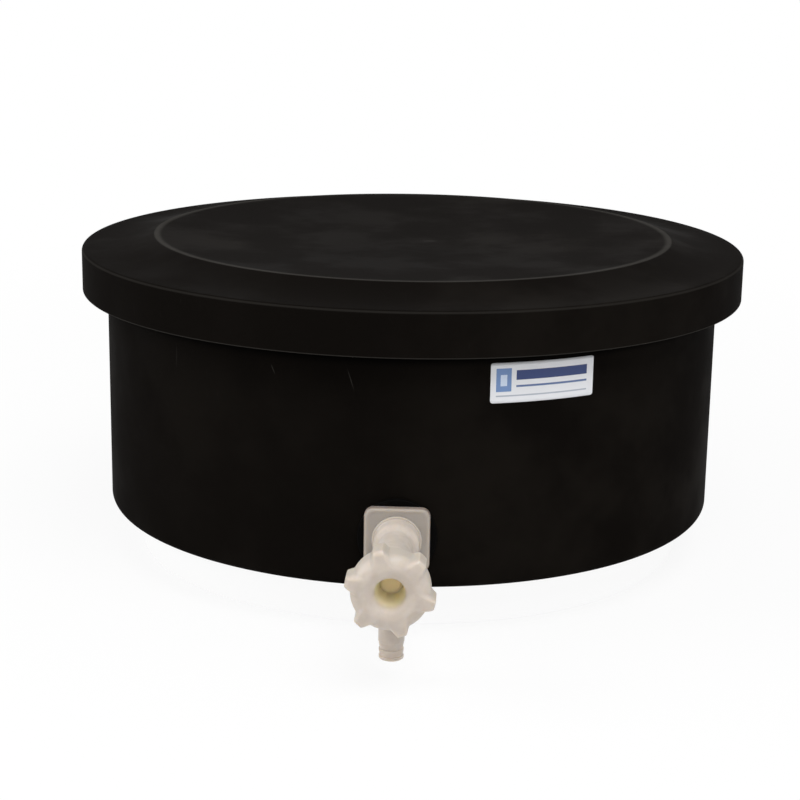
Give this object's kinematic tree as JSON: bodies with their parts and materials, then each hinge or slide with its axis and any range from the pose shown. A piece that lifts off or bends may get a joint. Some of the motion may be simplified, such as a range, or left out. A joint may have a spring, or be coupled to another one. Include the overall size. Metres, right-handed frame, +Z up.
{
  "type": "tank with spigot",
  "caption": "Shallow round black tank with a drop-on cover and a white screw-down spigot that drains through a hose barb near the base.",
  "frame": {"origin": "centre of the tank's flat underside", "axes": "+Z up, the spigot points along -Y, +X to the right when facing the spigot"},
  "size_m": [0.494, 0.5879, 0.2201],
  "materials": {
    "black_polyethylene": "moulded matt, faintly mottled",
    "white_polyethylene": "natural waxy moulded",
    "black_rubber": "smooth matt",
    "label_film": "printed film"
  },
  "bodies": {
    "tank": {"tank_body": "black_polyethylene", "cover": "black_polyethylene", "label": "label_film", "spigot_body": "white_polyethylene", "outer_gasket": "black_rubber", "inner_gasket": "black_rubber", "lock_nut": "white_polyethylene"},
    "plug_seal": {"stem_o_ring": "black_rubber"},
    "knob": {"knob": "white_polyethylene"}
  },
  "joints": [
    {"name": "knob_lift", "type": "slide", "parent": "tank", "child": "plug_seal", "axis": [0, -1, 0], "range_m": [0, 0.00601]},
    {"name": "knob_turn", "type": "hinge", "parent": "plug_seal", "child": "knob", "pos_m": [0, -0.3326, 0.037], "axis": [0, -1, 0], "range_deg": [0, 540]}
  ],
  "couplings": [
    {"joint": "knob_lift", "follows": "knob_turn", "m_per_rad": 0.00063662}
  ]
}
